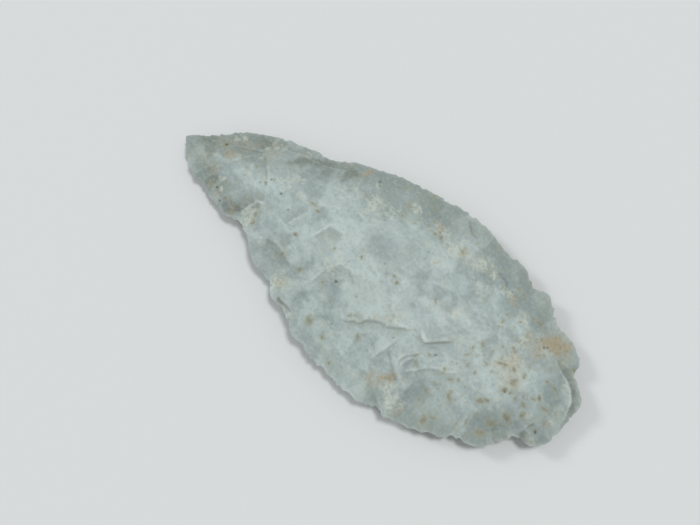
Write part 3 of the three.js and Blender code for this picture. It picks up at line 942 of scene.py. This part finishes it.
def add_node(tree, kind, inputs=None, **settings):
    made = tree.nodes.new(kind)
    for name, value in settings.items():
        setattr(made, name, value)
    for name, value in (inputs or {}).items():
        put(tree, made.inputs[name], value)
    return made


def mix_colour(tree, share, low, high):
    mix = add_node(tree, "ShaderNodeMix", data_type="RGBA")
    for number, value in zip(MIX_INPUTS, (share, low, high)):
        put(tree, mix.inputs[number], value)
    return mix.outputs[MIX_RESULT]


def product(tree, a, b):
    times = add_node(tree, "ShaderNodeMath", operation="MULTIPLY")
    for socket, value in zip(times.inputs, (a, b)):
        put(tree, socket, value)
    return times.outputs[0]


def spread(tree, value, low, high, to_low=0.0, to_high=1.0):
    """A value range stretched over another, and held at its ends."""
    inputs = {"Value": value, "From Min": low, "From Max": high, "To Min": to_low, "To Max": to_high}
    return add_node(tree, "ShaderNodeMapRange", inputs, clamp=True).outputs[0]


def turned(tree, place, turn, size):
    """The place in a grid that is turned and stretched."""
    inputs = {"Vector": place, "Rotation": turn, "Scale": size}
    return add_node(tree, "ShaderNodeMapping", inputs, vector_type="TEXTURE").outputs[0]


def speckle(tree, place, size, detail, roughness, seed=0.0):
    """Noise whose bumps are about one size across, in millimetres."""
    inputs = {"Vector": place, "W": seed, "Scale": 1 / (size * MM), "Detail": detail, "Roughness": roughness,
              "Distortion": DISTORTION}
    return add_node(tree, "ShaderNodeTexNoise", inputs, noise_dimensions="4D").outputs["Fac"]


def specks(tree, place):
    """Small round dots, one in some of the cells of an uneven grid."""
    cells = add_node(tree, "ShaderNodeTexVoronoi", {"Vector": place, "Scale": 1 / (SPECK_SPACING * MM)})
    rim = SPECK_RADIUS / SPECK_SPACING
    dots = spread(tree, cells.outputs["Distance"], rim, rim / 2)
    return product(tree, dots, spread(tree, cells.outputs["Color"], *SPECK_RAMP))


def chert_patterns(tree, place):
    """What the layers of colour follow: noise, fields of the mesh, and fields broken up by noise."""
    def field(name):
        return add_node(tree, "ShaderNodeAttribute", attribute_name=name).outputs["Fac"]

    streaky = turned(tree, place, STREAK_TURN, STREAK_STRETCH)
    mottle = speckle(tree, streaky, *MOTTLE_NOISE)
    dust = speckle(tree, place, *DUST_NOISE)
    patterns = {"mottle": mottle, "dust": dust, "specks": specks(tree, place)}
    patterns["clouds"] = speckle(tree, streaky, *CLOUD_NOISE)
    for name, noise_values in TONE_NOISES.items():
        patterns[name] = speckle(tree, streaky, *noise_values)
    for name in ("clean_and_lit", "facet", "ridge", "worn", "painted_foot_shade", "pit"):
        patterns[name] = field(name)

    patchy = spread(tree, mottle, *PATCHY_RAMP)
    breaks = {name: patchy for name in ("blotch", "olive_and_shade", "shade", "pale", "feather")}
    breaks["cloud"] = product(tree, patchy, spread(tree, dust, *FLECKED_RAMP))
    breaks["stain"] = spread(tree, mottle, *STAIN_RAMP)
    breaks["freckle"] = spread(tree, dust, *GRAINY_RAMP)
    for name, pattern in breaks.items():
        patterns[name] = product(tree, field(name), pattern)

    patterns["rust"] = product(tree, patterns["stain"], spread(tree, dust, *RUST_RAMP))
    splinter_place = turned(tree, place, SPLINTER_TURN, SPLINTER_SIZE)
    inputs = {"Vector": splinter_place, "Scale": 1.0, "Detail": SPLINTER_DETAIL}
    splinters = add_node(tree, "ShaderNodeTexNoise", inputs).outputs["Fac"]
    for name, ramp in (("splinters", SPLINTER_RAMP), ("cracks", CRACK_RAMP)):
        patterns[name] = product(tree, patterns["feather"], spread(tree, splinters, *ramp))
    return patterns


def chert_material():
    """Layered colours on a waxy matte surface with a fine grain."""
    material = bpy.data.materials.new("chert")
    material.use_nodes = True
    tree = material.node_tree
    shader = tree.nodes["Principled BSDF"]
    place = add_node(tree, "ShaderNodeTexCoord").outputs["Object"]
    patterns = chert_patterns(tree, place)
    colour = mix_colour(tree, spread(tree, patterns["clouds"], *CLOUD_RAMP), CHERT_GREY, CHERT)
    for name, begins, ends, share, tone in LAYERS:
        colour = mix_colour(tree, spread(tree, patterns[name], begins, ends, 0.0, share), colour, tone)
    fine = speckle(tree, place, *FINE_NOISE)
    inputs = {"Strength": BUMP_STRENGTH, "Distance": BUMP_HEIGHT * MM, "Height": fine}
    bump = add_node(tree, "ShaderNodeBump", inputs)
    put(tree, shader.inputs["Base Color"], colour)
    put(tree, shader.inputs["Roughness"], spread(tree, patterns["mottle"], *ROUGHNESS_RAMP))
    put(tree, shader.inputs["Normal"], bump.outputs["Normal"])
    shader.inputs["Specular IOR Level"].default_value = SPECULAR
    return material


def floor_material():
    material = bpy.data.materials.new("floor")
    material.use_nodes = True
    shader = material.node_tree.nodes["Principled BSDF"]
    shader.inputs["Base Color"].default_value = FLOOR_COLOUR
    shader.inputs["Roughness"].default_value = FLOOR_ROUGHNESS
    return material


# Stage

def make_floor():
    half = FLOOR_SIZE / 2 * MM
    mesh = bpy.data.meshes.new("floor")
    corners = [(-half, -half, 0), (half, -half, 0), (half, half, 0), (-half, half, 0)]
    mesh.from_pydata(corners, [], [(0, 1, 2, 3)])
    mesh.materials.append(floor_material())
    floor = bpy.data.objects.new("floor", mesh)
    bpy.context.scene.collection.objects.link(floor)


def make_light(name, source, strength):
    """A far soft light that falls evenly on the whole floor."""
    data = bpy.data.lights.new(name, "SUN")
    data.energy = strength
    data.angle = math.radians(LIGHT_SPREAD)
    light = bpy.data.objects.new(name, data)
    light.location = Vector(source) * MM
    light.rotation_euler = (-light.location).to_track_quat("-Z", "Y").to_euler()
    bpy.context.scene.collection.objects.link(light)


def make_world():
    world = bpy.data.worlds.new("studio")
    world.use_nodes = True
    backdrop = world.node_tree.nodes["Background"]
    backdrop.inputs["Color"].default_value = SKY_COLOUR
    backdrop.inputs["Strength"].default_value = SKY_STRENGTH
    bpy.context.scene.world = world
    bpy.context.scene.view_settings.view_transform = "Standard"


def make_camera():
    data = bpy.data.cameras.new("camera")
    data.angle = math.radians(CAMERA_VIEW_ACROSS)
    data.clip_start = CAMERA_NEAREST * MM
    camera = bpy.data.objects.new("camera", data)
    turn = Matrix.Rotation(math.radians(CAMERA_AZIMUTH), 4, "Z")
    tilt = Matrix.Rotation(math.radians(90 - CAMERA_ELEVATION), 4, "X")
    camera.matrix_world = Matrix.Translation(Vector(CAMERA_PLACE) * MM) @ turn @ tilt
    bpy.context.scene.collection.objects.link(camera)
    bpy.context.scene.camera = camera


blade = make_blade()
blade.data.materials.append(chert_material())
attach(blade, "root")
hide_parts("blade")
make_floor()
make_light("key", KEY_FROM, KEY_STRENGTH)
make_light("side", SIDE_FROM, SIDE_STRENGTH)
make_world()
make_camera()
